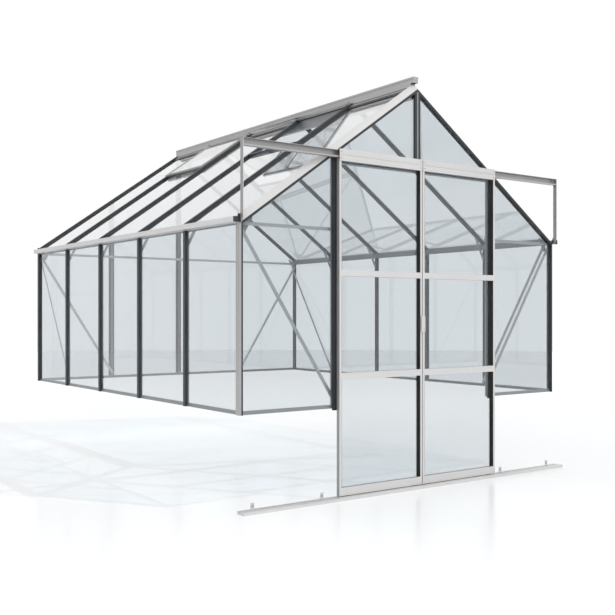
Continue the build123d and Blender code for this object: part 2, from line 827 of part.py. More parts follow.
with BuildPart() as vent_hinges:
    add(ridge_strip((hinge_top, cap_depth), (beside_ridge, hinge_edge), right_vents))
    mirror(ridge_strip((hinge_top, cap_depth), (beside_ridge, hinge_edge), left_vents),
           about=across)
vent_hinges.part.label = "vent_hinges"
export_step(vent_hinges.part, "parts/vent_hinges.step")


# ---- glass of the gables ----
def gable_pane(x0, x1, foot, inset):
    """A pane of the front gable between two bars, cut to the slope at its top."""
    with BuildPart() as pane:
        box(x0, x1, front + cap_depth, front + glass_back, foot, apex)
        extrude(roof_outline(gable_face(0), inset), amount=-bar_foot, mode=Mode.INTERSECT)
    return pane.part


bar_side = gable_bay + glass_edge
with BuildPart() as gable_glass:
    add(gable_pane(bar_side, half - corner_inset + glass_lap, sill_height,
                   verge_inset - glass_lap))
    add(gable_pane(glass_edge, gable_bay - jamb_cap[0], lintel_head - lintel_lap,
                   verge_inset - glass_lap))
    mirror(gable_pane(bar_side, half - rear_pane_inset, sill_height, rear_pane_inset),
           about=along)
    mirror(gable_pane(glass_edge, gable_bay - glass_edge, sill_height, rear_pane_inset),
           about=along)
    mirror(about=across)
gable_glass.part.label = "gable_glass"
export_step(gable_glass.part, "parts/gable_glass.step")


# ---- bracing inside the bars: flat braces, tie bars at the eaves and knees ----
def brace(plane, start, end):
    """A flat bar with rounded ends that lies on the inner side of a plane."""
    dx, dy = end[0] - start[0], end[1] - start[1]
    with BuildPart() as bar:
        with BuildSketch(plane):
            with Locations(((start[0] + end[0]) / 2, (start[1] + end[1]) / 2)):
                SlotCenterToCenter(hypot(dx, dy), brace_width, rotation=degrees(atan2(dy, dx)))
        extrude(amount=-brace_thick)
    return bar.part


gable_inside = gable_face(bar_foot)
wall_inside = Plane(origin=(inner, 0, 0), x_dir=(0, 1, 0), z_dir=(1, 0, 0))
roof_inside = Plane(origin=(half - bar_foot * rise, 0, eaves_height - bar_foot * run),
                    x_dir=(0, 1, 0), z_dir=(rise, 0, run))
beside_pane = brace_width / 2 + play
jamb_brace = brace(gable_inside, (half - corner_inset - beside_pane, beam_foot - gable_brace_drop),
                   (gable_bay + jamb_brace_shift, jamb_brace_foot))
rear_brace = brace(gable_inside, (half - glass_back - beside_pane, beam_foot - gable_brace_drop),
                   (gable_bay, rear_brace_foot))
far_brace = brace(wall_inside, (rear - glass_back - beside_pane, beam_foot - far_brace_drop),
                  (bay_lines[-1], wall_brace_foot))
near_brace = brace(wall_inside, (front + near_brace_inset, beam_foot - near_brace_drop),
                   (bay_lines[0], wall_brace_foot))
beside_verge = front + tube_back + beside_pane
roof_brace_head = roof_run - roof_brace_top
with BuildPart() as braces:
    add(jamb_brace)
    mirror(rear_brace, about=along)
    add(far_brace)
    mirror(about=across)
    add(near_brace)
    add(brace(roof_inside, (beside_verge, roof_brace_head), (bay_lines[1], roof_brace_low)))
    mirror(brace(roof_inside, (bay_lines[0], roof_brace_head),
                 (beside_verge, roof_brace_verge * roof_run)), about=across)
braces.part.label = "braces"
export_step(braces.part, "parts/braces.step")


def tie_bar(x0, x1):
    """A hollow level bar inside the front gable at the height of the eaves."""
    tie_foot = beam_foot - tie_drop
    tie_head = tie_foot + tie_height
    with BuildPart() as tie:
        with BuildSketch(sill_line(x0)):
            rect(bar_foot, bar_foot + tie_thick, tie_foot, tie_head)
            rect(bar_foot + sheet, bar_foot + tie_thick - sheet, tie_foot + sheet,
                 tie_head - sheet, mode=Mode.SUBTRACT)
        extrude(amount=x1 - x0)
        extrude(roof_outline(gable_inside, verge_inset), amount=-tie_thick, mode=Mode.INTERSECT)
    return tie.part


front_tie = tie_bar(gable_bay - jamb_width / 2, inner)
with BuildPart() as tie_bars:
    add(front_tie)
    mirror(front_tie, about=across)
    mirror(tie_bar(-inner, inner), about=along)
tie_bars.part.label = "tie_bars"
export_step(tie_bars.part, "parts/tie_bars.step")

with BuildPart() as knee_braces:
    knee_foot = beam_foot - knee_drop
    knee_end = bar_foot + knee_reach
    for y in bay_lines:
        with BuildSketch(eave_line(y - front)):
            with BuildLine():
                Polyline((bar_foot, knee_foot), (knee_end, up_slope(half - knee_end, bar_foot)),
                         (knee_end - knee_head, up_slope(half - knee_end + knee_head, bar_foot)),
                         (bar_foot, knee_foot + knee_width), close=True)
            make_face()
        extrude(amount=knee_thick / 2, both=True)
    mirror(about=across)
knee_braces.part.label = "knee_braces"
export_step(knee_braces.part, "parts/knee_braces.step")

# ---- door track, its struts and the ground rail ----
track_half = half - strut_thick
with BuildPart() as door_track:
    with BuildSketch(sill_line(0)):
        rect(-track_wall, 0, track_foot, track_head)
        rect(-track_reach, 0, track_foot, track_foot + track_wall)
        rect(-track_reach, 0, track_head - track_wall, track_head)
        rect(-track_reach, -track_reach + track_wall, track_foot, track_foot + track_lip)
        rect(bead_y - track_wall / 2, bead_y + track_wall / 2, track_foot, track_foot + track_bead)
    extrude(amount=track_half, both=True)
door_track.part.label = "door_track"
export_step(door_track.part, "parts/door_track.step")

with BuildPart() as track_struts:
    with BuildSketch(Plane(origin=(half, front - gutter_end, 0), x_dir=(0, 1, 0),
                           z_dir=(1, 0, 0))):
        with BuildLine():
            Polyline((-strut_width, track_head), (0, track_head),
                     (0, gutter_foot + strut_tip), (-strut_width / 3, gutter_foot),
                     (-strut_width, gutter_foot + strut_shoulder), close=True)
        make_face()
    extrude(amount=-strut_thick)
    mirror(about=across)
track_struts.part.label = "track_struts"
export_step(track_struts.part, "parts/track_struts.step")

with BuildPart() as ground_rail:
    box(-rail_end, rail_end, front - rail_reach, front, rail_top - rail_height, rail_top)
    box(-rail_end, rail_end, front + bead_y - rail_groove / 2, front + bead_y + rail_groove / 2,
        rail_top - rail_groove_depth, rail_top, mode=Mode.SUBTRACT)
    for inset in lug_insets:
        for side in (-1, 1):
            x = side * (rail_end - inset)
            box(x - lug_width / 2, x + lug_width / 2, front - strut_thick, front,
                rail_top, rail_top + lug_height)
            with BuildSketch(gable_face(0)):
                with Locations((x, rail_top + lug_height / 2)):
                    Circle(lug_hole)
            extrude(amount=strut_thick, mode=Mode.SUBTRACT)
ground_rail.part.label = "ground_rail"
export_step(ground_rail.part, "parts/ground_rail.step")

# ---- door leaves ----
rails = [(leaf_foot, foot_rail), (low_rail_z, low_rail), (mid_rail_z, mid_rail),
         (leaf_head - head_rail, head_rail)]
pane_heights = [(low[0] + low[1], high[0]) for low, high in zip(rails, rails[1:])]
stile_in = leaf_in + stile_width
stile_out = leaf_out - stile_width


def leaf_stiles():
    """The two hollow uprights of the right leaf."""
    with BuildPart() as stiles:
        with BuildSketch(gable_line(leaf_in, leaf_foot)):
            rect(0, stile_width, -leaf_front, -leaf_back)
            rect(sheet, stile_width - sheet, -leaf_front + sheet, -leaf_back - sheet,
                 mode=Mode.SUBTRACT)
            mirror(about=Plane.YZ.offset(leaf_width / 2))
        extrude(amount=leaf_head - leaf_foot)
    return stiles.part


def leaf_rails():
    """The four hollow cross rails of the right leaf, between its stiles."""
    with BuildPart() as cross:
        with BuildSketch(sill_line(stile_in)):
            for foot, height in rails:
                rect(-leaf_front, -leaf_back, foot, foot + height)
                rect(-leaf_front + sheet, -leaf_back - sheet, foot + sheet,
                     foot + height - sheet, mode=Mode.SUBTRACT)
        extrude(amount=stile_out - stile_in)
    return cross.part


def leaf_seals():
    """Dark linings of the right leaf's stiles, each with a bead on the front of a pane."""
    with BuildPart() as seals:
        for foot, head in pane_heights:
            with BuildSketch(gable_line(stile_in, foot)):
                rect(0, lining, -leaf_front, glass_y)
                rect(0, bead_width, glass_y - bead_thick, glass_y)
                mirror(about=Plane.YZ.offset((stile_out - stile_in) / 2))
            extrude(amount=head - foot)
    return seals.part


def leaf_header():
    """Cover plate over the head of the right leaf, with a groove along its middle."""
    middle = (header_foot + header_head) / 2
    with BuildPart() as header:
        box(leaf_in, leaf_out, front - leaf_front - header_thick, front - leaf_front,
            header_foot, header_head)
        box(leaf_in, leaf_out, front - leaf_front - header_thick,
            front - leaf_front - header_thick / 2, middle - header_groove / 2,
            middle + header_groove / 2, mode=Mode.SUBTRACT)
    return header.part


def leaf_glass():
    """Three panes between the rails of the right leaf."""
    with BuildPart() as panes:
        for foot, head in pane_heights:
            box(stile_in, stile_out, front + glass_y, front + glass_y + glass_thick, foot, head)
    return panes.part


def leaf_rollers():
    """Two grooved rollers on axles that reach back from the header plate."""
    with BuildPart() as rollers:
        for x in (leaf_in + roller_inset, leaf_out - roller_inset):
            centre = track_foot + track_bead + play + roller_radius - roller_groove
            spot = Plane(origin=(x, front - leaf_front, centre), z_dir=(0, 1, 0))
            with BuildSketch(spot):
                Circle(axle_radius)
            extrude(amount=leaf_front + bead_y + roller_thick / 2)
            with BuildSketch(Plane(origin=(x, front + bead_y - roller_thick / 2, centre),
                                   z_dir=(0, 1, 0))):
                Circle(roller_radius)
            extrude(amount=roller_thick)
            with BuildSketch(Plane(origin=(x, front + bead_y - roller_thick / 4, centre),
                                   z_dir=(0, 1, 0))):
                Circle(roller_radius)
                Circle(roller_radius - roller_groove, mode=Mode.SUBTRACT)
            extrude(amount=roller_thick / 2, mode=Mode.SUBTRACT)
    return rollers.part


def leaf_guides():
    """Two fins under the right leaf that run in the ground rail's groove."""
    with BuildPart() as fins:
        for x in (leaf_in + guide_inset, leaf_out - guide_inset):
            box(x - guide_length / 2, x + guide_length / 2,
                front + bead_y - guide_thick / 2, front + bead_y + guide_thick / 2,
                leaf_foot - guide_depth, leaf_foot)
    return fins.part


pieces = {"stiles": leaf_stiles(), "rails": leaf_rails(), "seals": leaf_seals(),
          "header": leaf_header(), "glass": leaf_glass(), "rollers": leaf_rollers(),
          "guides": leaf_guides()}
shut = Location((door_shift, 0, 0))
for name, piece in pieces.items():
    other = mirror(piece, about=across).moved(shut)
    piece = piece.moved(shut)
    piece.label = f"right_{name}"
    export_step(piece, f"parts/right_{name}.step")
    other.label = f"left_{name}"
    export_step(other, f"parts/left_{name}.step")

# a finger pull on the right leaf, with a lap that stands clear of the left leaf
with BuildPart() as door_handle:
    handle_face = front - leaf_front - handle_depth
    handle_head = handle_foot + handle_height
    box(door_shift + leaf_in, door_shift + leaf_in + handle_width, handle_face,
        front - leaf_front, handle_foot, handle_head)
    box(door_shift - handle_lap, door_shift + leaf_in, handle_face,
        handle_face + handle_thick, handle_foot, handle_head)
door_handle.part.label = "door_handle"
export_step(door_handle.part, "parts/door_handle.step")
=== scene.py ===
"""Studio scene of a half-glazed greenhouse: finishes, small fasteners and the stage."""

from math import cos, pi, radians, sin, tan

import bmesh
import bpy
from bpy.props import FloatProperty, FloatVectorProperty, PointerProperty
from mathutils import Matrix, Vector


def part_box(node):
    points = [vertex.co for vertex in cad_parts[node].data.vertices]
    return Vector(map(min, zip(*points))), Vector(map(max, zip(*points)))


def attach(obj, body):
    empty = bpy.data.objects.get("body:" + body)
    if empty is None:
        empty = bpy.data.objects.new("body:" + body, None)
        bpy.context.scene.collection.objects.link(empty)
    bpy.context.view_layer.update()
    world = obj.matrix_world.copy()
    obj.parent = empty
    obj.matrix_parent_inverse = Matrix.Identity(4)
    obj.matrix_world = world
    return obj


bl_info = {
    "name": "Greenhouse Dresser",
    "version": (1, 0, 0),
    "blender": (4, 5, 0),
    "location": "View3D > Sidebar > Greenhouse",
    "description": "Dresses a glass greenhouse with its finishes, fasteners and a studio stage",
    "category": "Object",
}

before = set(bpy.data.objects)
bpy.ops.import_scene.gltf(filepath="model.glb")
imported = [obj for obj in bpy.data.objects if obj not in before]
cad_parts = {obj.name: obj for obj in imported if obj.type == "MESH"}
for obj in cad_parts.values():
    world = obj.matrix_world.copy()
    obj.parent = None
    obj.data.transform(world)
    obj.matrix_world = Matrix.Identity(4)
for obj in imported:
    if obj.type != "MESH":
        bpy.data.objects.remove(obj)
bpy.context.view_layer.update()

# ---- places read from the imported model, in metres ----
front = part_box("corner_posts")[0].y      # outer face of the front gable
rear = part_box("wall_caps")[1].y
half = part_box("wall_caps")[1].x          # outer face of the right wall
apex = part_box("verges")[1].z
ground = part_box("ground_rail")[0].z
guide_clearance = 0.005                       # the guides stand over the ground rail
rail_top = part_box("left_guides")[1].z - guide_clearance
beam_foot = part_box("eave_beams")[0].z
beam_cover = 0.018                            # how far the beams stand over the bars
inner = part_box("eave_beams")[1].x - beam_cover    # inner faces of the bars
jamb_half = 0.016
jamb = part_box("door_jambs")[1].x - jamb_half  # middle of the right jamb
bar_half, bar_count = 0.014, 4                # the bars between a wall's corner posts
first_bar, last_bar = (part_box("wall_bars")[n].y for n in (0, 1))
bar_gap = (last_bar - first_bar - 2 * bar_half) / (bar_count - 1)
bay_lines = [first_bar + bar_half + bar_gap * n for n in range(bar_count)]
middle = (front + rear) / 2                   # half way along the ridge
pitch = radians(35)
run, rise = cos(pitch), sin(pitch)


def roof_height(x, depth=0.0):
    """Height of the roof at a distance from the middle, lowered square to the slope."""
    return apex - abs(x) * tan(pitch) - depth / run


# ---- settings ----
class GreenhouseFinish(bpy.types.PropertyGroup):
    """Colours and surface values of the greenhouse's materials."""

    bright_colour: FloatVectorProperty(
        name="Covers", description="Colour of the pale covers and door profiles",
        subtype="COLOR", size=3, min=0, max=1, default=(0.69, 0.68, 0.675))
    # satin aluminium with painted shade: a darker grey copy of the cover aluminium for the
    # track, ridge and vents
    satin_colour: FloatVectorProperty(
        name="Track and ridge", description="Colour of the track, the ridge and the vents",
        subtype="COLOR", size=3, min=0, max=1, default=(0.45, 0.442, 0.438))
    # painted shade: a darker copy of the cover aluminium, for the shade on the corner covers'
    # side faces
    post_colour: FloatVectorProperty(
        name="Corner posts", description="Colour of the front corner covers",
        subtype="COLOR", size=3, min=0, max=1, default=(0.41, 0.405, 0.40))
    # painted shade: a darker copy of the aluminium, for the shade on the sills
    sill_colour: FloatVectorProperty(
        name="Sills", description="Colour of the sills", subtype="COLOR",
        size=3, min=0, max=1, default=(0.26, 0.28, 0.29))
    # painted shade: a dark copy of the aluminium for the faces towards the room and the vent
    # curbs, standing in for the shade inside the greenhouse
    inner_colour: FloatVectorProperty(
        name="Room faces", description="Colour of the bars' faces towards the room",
        subtype="COLOR", size=3, min=0, max=1, default=(0.10, 0.104, 0.112))
    # painted shade: edge and bar are darker copies of the aluminium, for the side faces of the
    # door profiles, track and struts and for the bars and rafters
    edge_colour: FloatVectorProperty(
        name="Profile edges", description="Colour of the door profiles' sides and lips",
        subtype="COLOR", size=3, min=0, max=1, default=(0.37, 0.362, 0.358))
    bar_colour: FloatVectorProperty(
        name="Bar sides", description="Colour of the side faces of the bars and rafters",
        subtype="COLOR", size=3, min=0, max=1, default=(0.19, 0.195, 0.205))
    beam_colour: FloatVectorProperty(
        name="Beams", description="Colour of the beams, jambs, knees, plates and clips",
        subtype="COLOR", size=3, min=0, max=1, default=(0.29, 0.30, 0.32))
    brace_colour: FloatVectorProperty(
        name="Braces", description="Colour of the flat braces and the ridge beam",
        subtype="COLOR", size=3, min=0, max=1, default=(0.47, 0.465, 0.465))
    stay_colour: FloatVectorProperty(
        name="Stays", description="Colour of the vents' stays and pegs", subtype="COLOR",
        size=3, min=0, max=1, default=(0.075, 0.08, 0.085))
    capping_colour: FloatVectorProperty(
        name="Capping", description="Colour of the dark cappings and strips", subtype="COLOR",
        size=3, min=0, max=1, default=(0.024, 0.025, 0.027))
    nylon_colour: FloatVectorProperty(
        name="Nylon", description="Colour of the rollers and guides", subtype="COLOR",
        size=3, min=0, max=1, default=(0.05, 0.05, 0.052))
    steel_colour: FloatVectorProperty(
        name="Screws", description="Colour of the screws and bolts", subtype="COLOR",
        size=3, min=0, max=1, default=(0.35, 0.35, 0.36))
    wall_tint: FloatVectorProperty(
        name="Wall glass", description="Tint of one pane in the walls and doors",
        subtype="COLOR", size=3, min=0, max=1, default=(0.784, 0.815, 0.834))
    roof_tint: FloatVectorProperty(
        name="Roof glass", description="Tint of one roof pane", subtype="COLOR",
        size=3, min=0, max=1, default=(0.68, 0.705, 0.722))
    roof_coat: FloatProperty(
        name="Roof coat", description="Strength of the roof panes' reflecting coat",
        subtype="FACTOR", min=0, max=1, default=1.0)
    shadow_tint: FloatVectorProperty(
        name="Glass shadow", description="Tint that one pane gives to the light behind it",
        subtype="COLOR", size=3, min=0, max=1, default=(0.78, 0.88, 0.93))


class GreenhouseFasteners(bpy.types.PropertyGroup):
    """Sizes of the screws, bolts and plates."""

    screw_radius: FloatProperty(
        name="Screw", description="Radius of a pan head", unit="LENGTH", default=0.0042)
    bolt_radius: FloatProperty(
        name="Bolt", description="Radius of a bolt's washer", unit="LENGTH", default=0.0085)
    plate_thick: FloatProperty(
        name="Plate", description="Thickness of the corner plates", unit="LENGTH",
        default=0.003)
    stay_length: FloatProperty(
        name="Stay length", description="Length of a vent's stay", unit="LENGTH",
        default=0.330)
    stay_width: FloatProperty(
        name="Stay width", description="Width of a vent's stay", unit="LENGTH",
        default=0.014)
    stay_thick: FloatProperty(
        name="Stay", description="Thickness of a vent's stay", unit="LENGTH",
        default=0.003)
    peg_radius: FloatProperty(
        name="Peg", description="Radius of a peg on a vent's stay", unit="LENGTH",
        default=0.0035)


class GreenhouseStage(bpy.types.PropertyGroup):
    """Camera, lamps and floor."""

    camera_place: FloatVectorProperty(
        name="Camera", description="Where the camera stands, from the front gable's middle",
        subtype="TRANSLATION", unit="LENGTH", size=3, default=(-4.447, -4.788, 0.633))
    camera_turn: FloatProperty(
        name="Camera turn", description="Turn of the camera away from the ridge's direction",
        subtype="ANGLE", default=radians(35.902))
    camera_shift: FloatProperty(
        name="Camera shift", description="Upward shift of the picture, in picture widths",
        default=0.0111, precision=4)
    lens: FloatProperty(
        name="Lens", description="Focal length of the camera", unit="CAMERA",
        default=52.68, min=20, max=200)
    floor_radius: FloatProperty(
        name="Floor", description="Radius of the round floor", unit="LENGTH", default=23.5)
    near_floor: FloatVectorProperty(
        name="Floor near", description="Colour of the floor under the greenhouse",
        subtype="COLOR", size=3, min=0, max=1, default=(0.86, 0.86, 0.86))
    far_floor: FloatVectorProperty(
        name="Floor far", description="Colour of the floor away from the greenhouse",
        subtype="COLOR", size=3, min=0, max=1, default=(0.64, 0.64, 0.642))
    key_power: FloatProperty(
        name="Key", description="Power of the large soft lamp", unit="POWER", default=330.0)
    key_size: FloatProperty(
        name="Key size", description="Side of the large soft lamp", unit="LENGTH",
        default=6.0)
    key_place: FloatVectorProperty(
        name="Key place", description="Where the large soft lamp hangs",
        subtype="TRANSLATION", unit="LENGTH", size=3, default=(-7, -12, 7))
    key_target: FloatVectorProperty(
        name="Key target", description="Point that the large soft lamp is aimed at",
        subtype="TRANSLATION", unit="LENGTH", size=3, default=(0, -2, 0.5))
    sun_strength: FloatProperty(
        name="Sun", description="Strength of the lamp that draws the floor's shadow",
        default=0.75)
    sun_angle: FloatProperty(
        name="Sun width", description="Angular width of that lamp, which softens the shadow",
        subtype="ANGLE", default=radians(0.3))
    sun_towards: FloatVectorProperty(
        name="Sun side", description="Direction from the greenhouse to that lamp",
        subtype="XYZ", size=3, default=(0.455, -0.69, 1.0))
    sky_colour: FloatVectorProperty(
        name="Sky colour", description="Colour of the surroundings' light",
        subtype="COLOR", size=3, min=0, max=1, default=(0.96, 0.98, 1.0))
    sky_strength: FloatProperty(
        name="Sky", description="Strength of the surroundings' light", default=0.72)


# ---- material helpers ----
# sockets of a Mix node that mixes colours
MIX_FACTOR, MIX_FIRST, MIX_SECOND, MIX_RESULT = 0, 6, 7, 2
# directions of an extrusion: along it, then the two across it
GRAIN = {
    "x": ((1, 0, 0), (0, 1, 0), (0, 0, 1)),
    "y": ((0, 1, 0), (1, 0, 0), (0, 0, 1)),
    "z": ((0, 0, 1), (1, 0, 0), (0, 1, 0)),
    "slope": ((-run, 0, rise), (rise, 0, run), (0, 1, 0)),
}
LINES_ALONG, LINES_ACROSS = 0.5, 190.0    # die lines in a metre
ROOM_HEIGHT = 1.0                         # height of the room's middle
PLAIN, COVER, VERGE = 0.38, 0.48, 0.7     # roughness of the aluminium finishes


def new_material(name):
    """A material with an empty node tree, and its Principled shader and output."""
    material = bpy.data.materials.new(name)
    material.use_nodes = True
    tree = material.node_tree
    tree.nodes.clear()
    shader = tree.nodes.new("ShaderNodeBsdfPrincipled")
    output = tree.nodes.new("ShaderNodeOutputMaterial")
    tree.links.new(shader.outputs["BSDF"], output.inputs["Surface"])
    return material, tree, shader, output


def feed(tree, socket, value):
    """Give a socket the value of another socket, or a plain one."""
    if isinstance(value, bpy.types.NodeSocket):
        tree.links.new(value, socket)
    else:
        socket.default_value = value


def calculate(tree, operation, *values, clamp=False):
    """The result of a Math node over sockets and plain numbers."""
    node = tree.nodes.new("ShaderNodeMath")
    node.operation = operation
    node.use_clamp = clamp
    for socket, value in zip(node.inputs, values):
        feed(tree, socket, value)
    return node.outputs[0]


def compare(tree, operation, first, second):
    """The outputs of a Vector Math node over two sockets or plain vectors."""
    node = tree.nodes.new("ShaderNodeVectorMath")
    node.operation = operation
    feed(tree, node.inputs[0], first)
    feed(tree, node.inputs[1], second)
    return node.outputs


def noise(tree, vector, scale, detail):
    """A noise texture's value over a vector."""
    texture = tree.nodes.new("ShaderNodeTexNoise")
    texture.inputs["Scale"].default_value = scale
    texture.inputs["Detail"].default_value = detail
    tree.links.new(vector, texture.inputs["Vector"])
    return texture.outputs["Fac"]


def spread(tree, value, low, high, between=(0.3, 0.7)):
    """A value from low to high, as another goes over the range given by between."""
    scale = tree.nodes.new("ShaderNodeMapRange")
    scale.inputs["From Min"].default_value = between[0]
    scale.inputs["From Max"].default_value = between[1]
    scale.inputs["To Min"].default_value = low
    scale.inputs["To Max"].default_value = high
    tree.links.new(value, scale.inputs["Value"])
    return scale.outputs["Result"]


def changed(colour, factor, lift=0.0):
    """A colour made darker or paler."""
    return tuple(min(c * factor + lift, 1) for c in colour)


def blend(tree, first, second, value):
    """The first colour where a value is 0 and the second where it is 1."""
    mix = tree.nodes.new("ShaderNodeMix")
    mix.data_type = "RGBA"
    tree.links.new(value, mix.inputs[MIX_FACTOR])
    for index, colour in ((MIX_FIRST, first), (MIX_SECOND, second)):
        linked = isinstance(colour, bpy.types.NodeSocket)
        feed(tree, mix.inputs[index], colour if linked else (*colour, 1))
    return mix.outputs[MIX_RESULT]


def paint(tree, shader, first, second, value):
    """Base colour between two colours, by a value of 0 to 1."""
    tree.links.new(blend(tree, first, second, value), shader.inputs["Base Color"])


def bump(tree, shader, height, strength, distance):
    """Bump from a height value."""
    node = tree.nodes.new("ShaderNodeBump")
    node.inputs["Strength"].default_value = strength
    node.inputs["Distance"].default_value = distance
    tree.links.new(height, node.inputs["Height"])
    tree.links.new(node.outputs["Normal"], shader.inputs["Normal"])


def object_place(tree):
    """Object coordinates."""
    return tree.nodes.new("ShaderNodeTexCoord").outputs["Object"]


def grain_vector(tree, axis):
    """Object coordinates stretched along an extrusion, the same on both sides of the ridge."""
    place = object_place(tree)
    split = tree.nodes.new("ShaderNodeSeparateXYZ")
    tree.links.new(place, split.inputs[0])
    joined = tree.nodes.new("ShaderNodeCombineXYZ")
    tree.links.new(calculate(tree, "ABSOLUTE", split.outputs["X"]), joined.inputs["X"])
    tree.links.new(split.outputs["Y"], joined.inputs["Y"])
    tree.links.new(split.outputs["Z"], joined.inputs["Z"])
    turned = tree.nodes.new("ShaderNodeCombineXYZ")
    scales = (LINES_ALONG, LINES_ACROSS, LINES_ACROSS)
    for socket, direction, scale in zip("XYZ", GRAIN[axis], scales):
        dot = compare(tree, "DOT_PRODUCT", joined.outputs[0], Vector(direction) * scale)
        tree.links.new(dot["Value"], turned.inputs[socket])
    return place, turned.outputs[0]


# mask of painted shade: faces towards the room get a dark copy of the aluminium
def facing_out(tree):
    """1 on the faces of the frame that look away from the room, 0 on those towards it."""
    place = tree.nodes.new("ShaderNodeTexCoord")
    from_room = compare(tree, "SUBTRACT", place.outputs["Object"], (0, middle, ROOM_HEIGHT))
    facing = compare(tree, "DOT_PRODUCT", from_room["Vector"], place.outputs["Normal"])
    return spread(tree, facing["Value"], 0, 1, between=(-0.05, 0.05))


# mask of painted shade: faces that look across the ridge or up get a darker second colour
def facing_along(tree):
    """1 on the faces that look along the ridge, 0 on those that look across it or up."""
    split = tree.nodes.new("ShaderNodeSeparateXYZ")
    tree.links.new(tree.nodes.new("ShaderNodeTexCoord").outputs["Normal"], split.inputs[0])
    return spread(tree, calculate(tree, "ABSOLUTE", split.outputs["Y"]), 0, 1)


def seen_rays(tree, through=1.0):
    """1 for camera and glossy rays, a share for rays through glass, 0 for the rest.

    A ray through smooth glass counts as a glossy one too, so its share is what stays of 1.
    """
    path = tree.nodes.new("ShaderNodeLightPath").outputs
    seen = calculate(tree, "MAXIMUM", path["Is Camera Ray"], path["Is Glossy Ray"])
    either = calculate(tree, "MAXIMUM", seen, path["Is Transmission Ray"])
    if through == 1.0:
        return either
    return calculate(tree, "MULTIPLY_ADD", path["Is Transmission Ray"], through - 1.0, either,
                     clamp=True)


def extruded_aluminium(name, colour, axis, roughness=PLAIN, second=None, facing=None):
    """Extruded aluminium: die lines along it, a fine grain and faint cloudy oxide.

    Where a second colour is given, the faces that facing leaves out have it, as painted shade.
    """
    material, tree, shader, _ = new_material(name)
    place, lengthwise = grain_vector(tree, axis)
    lines = noise(tree, lengthwise, scale=1.0, detail=3)
    clouds = noise(tree, place, scale=2.2, detail=4)
    oxide = calculate(tree, "MULTIPLY", clouds, 0.4)
    grain = spread(tree, calculate(tree, "MULTIPLY_ADD", lines, 0.6, oxide), 0, 1,
                   between=(0.35, 0.65))
    shade = blend(tree, changed(colour, 0.94), changed(colour, 1.05), grain)
    if second is not None:
        # painted shade: the darker second colour on faces towards the room or on side faces
        other = blend(tree, changed(second, 0.92), second, grain)
        shade = blend(tree, other, shade, facing(tree))
    tree.links.new(shade, shader.inputs["Base Color"])
    fine = noise(tree, place, scale=420, detail=2)
    tree.links.new(spread(tree, fine, roughness - 0.05, roughness + 0.07),
                   shader.inputs["Roughness"])
    shader.inputs["Metallic"].default_value = 0.5
    bump(tree, shader, lines, strength=0.1, distance=0.0004)
    return material


def dark_plastic(name, colour, axis, roughness=0.46):
    """Matt dark plastic, drawn lengthwise, with a fine tooth and a dusty bloom."""
    material, tree, shader, _ = new_material(name)
    place, lengthwise = grain_vector(tree, axis)
    dust = spread(tree, noise(tree, place, scale=5, detail=5), 0, 1, between=(0.35, 0.75))
    paint(tree, shader, colour, changed(colour, 1.35, lift=0.004), dust)
    lines = noise(tree, lengthwise, scale=0.7, detail=2)
    tree.links.new(spread(tree, lines, roughness - 0.06, roughness + 0.08),
                   shader.inputs["Roughness"])
    tooth = noise(tree, place, scale=700, detail=2)
    bump(tree, shader, tooth, strength=0.12, distance=0.0003)
    return material


def turned_steel(name, colour):
    """Zinc-plated steel of the screws and bolts."""
    material, tree, shader, _ = new_material(name)
    grain = noise(tree, object_place(tree), scale=900, detail=3)
    paint(tree, shader, colour, changed(colour, 1.3), spread(tree, grain, 0, 1))
    tree.links.new(spread(tree, grain, 0.28, 0.42), shader.inputs["Roughness"])
    shader.inputs["Metallic"].default_value = 0.8
    return material


def pane_glass(name, tint, shadow, coat):
    """Float glass with a faint film, and the tint it gives to the lamps' light."""
    material, tree, shader, output = new_material(name)
    film = spread(tree, noise(tree, object_place(tree), scale=0.9, detail=3), 0, 1)
    paint(tree, shader, tint, changed(tint, 1.02), film)
    for socket, value in (("Roughness", 0.0), ("IOR", 1.5), ("Transmission Weight", 1.0),
                          ("Coat Weight", coat), ("Coat Roughness", 0.0)):
        shader.inputs[socket].default_value = value
    clear = tree.nodes.new("ShaderNodeBsdfTransparent")
    clear.inputs["Color"].default_value = (*shadow, 1)
    path = tree.nodes.new("ShaderNodeLightPath")
    mix = tree.nodes.new("ShaderNodeMixShader")
    tree.links.new(path.outputs["Is Shadow Ray"], mix.inputs["Fac"])
    tree.links.new(shader.outputs["BSDF"], mix.inputs[1])
    tree.links.new(clear.outputs["BSDF"], mix.inputs[2])
    tree.links.new(mix.outputs["Shader"], output.inputs["Surface"])
    return material


# each aluminium node's finish and the direction of its extrusion; several finishes are darker
# copies of one aluminium with painted shade
METAL = {
    "side_sills": ("sill", "y"), "gable_sills": ("sill", "x"),
    "corner_posts": ("post", "z"), "verges": ("bright", "slope"),
    "wall_bars": ("bar", "z"), "rafters": ("bar", "slope"),
    "gable_bars": ("beam", "z"), "door_jambs": ("beam", "z"),
    "door_lintel": ("beam", "x"), "eave_beams": ("beam", "y"),
    "gutters": ("bright", "y"), "ridge_beam": ("brace", "y"), "ridge_cap": ("satin", "y"),
    "ridge_flashing": ("satin", "y"), "vent_frames": ("satin", "slope"),
    # the vent curbs get the painted shade colour of the room faces all over
    "vent_curbs": ("inner", "slope"), "vent_hinges": ("satin", "y"),
    "braces": ("brace", "z"), "tie_bars": ("brace", "x"), "knee_braces": ("beam", "slope"),
    "door_track": ("satin", "x"), "track_struts": ("bright", "z"),
    "ground_rail": ("bright", "x"), "door_handle": ("bright", "z"),
    "left_stiles": ("bright", "z"), "right_stiles": ("bright", "z"),
    "left_rails": ("bright", "x"), "right_rails": ("bright", "x"),
    "left_header": ("bright", "x"), "right_header": ("bright", "x"),
}
ROUGHNESS = {"bright": COVER}     # by finish, where it isn't the plain one
DULLED = {"verges": VERGE}        # by node, where it isn't its finish's
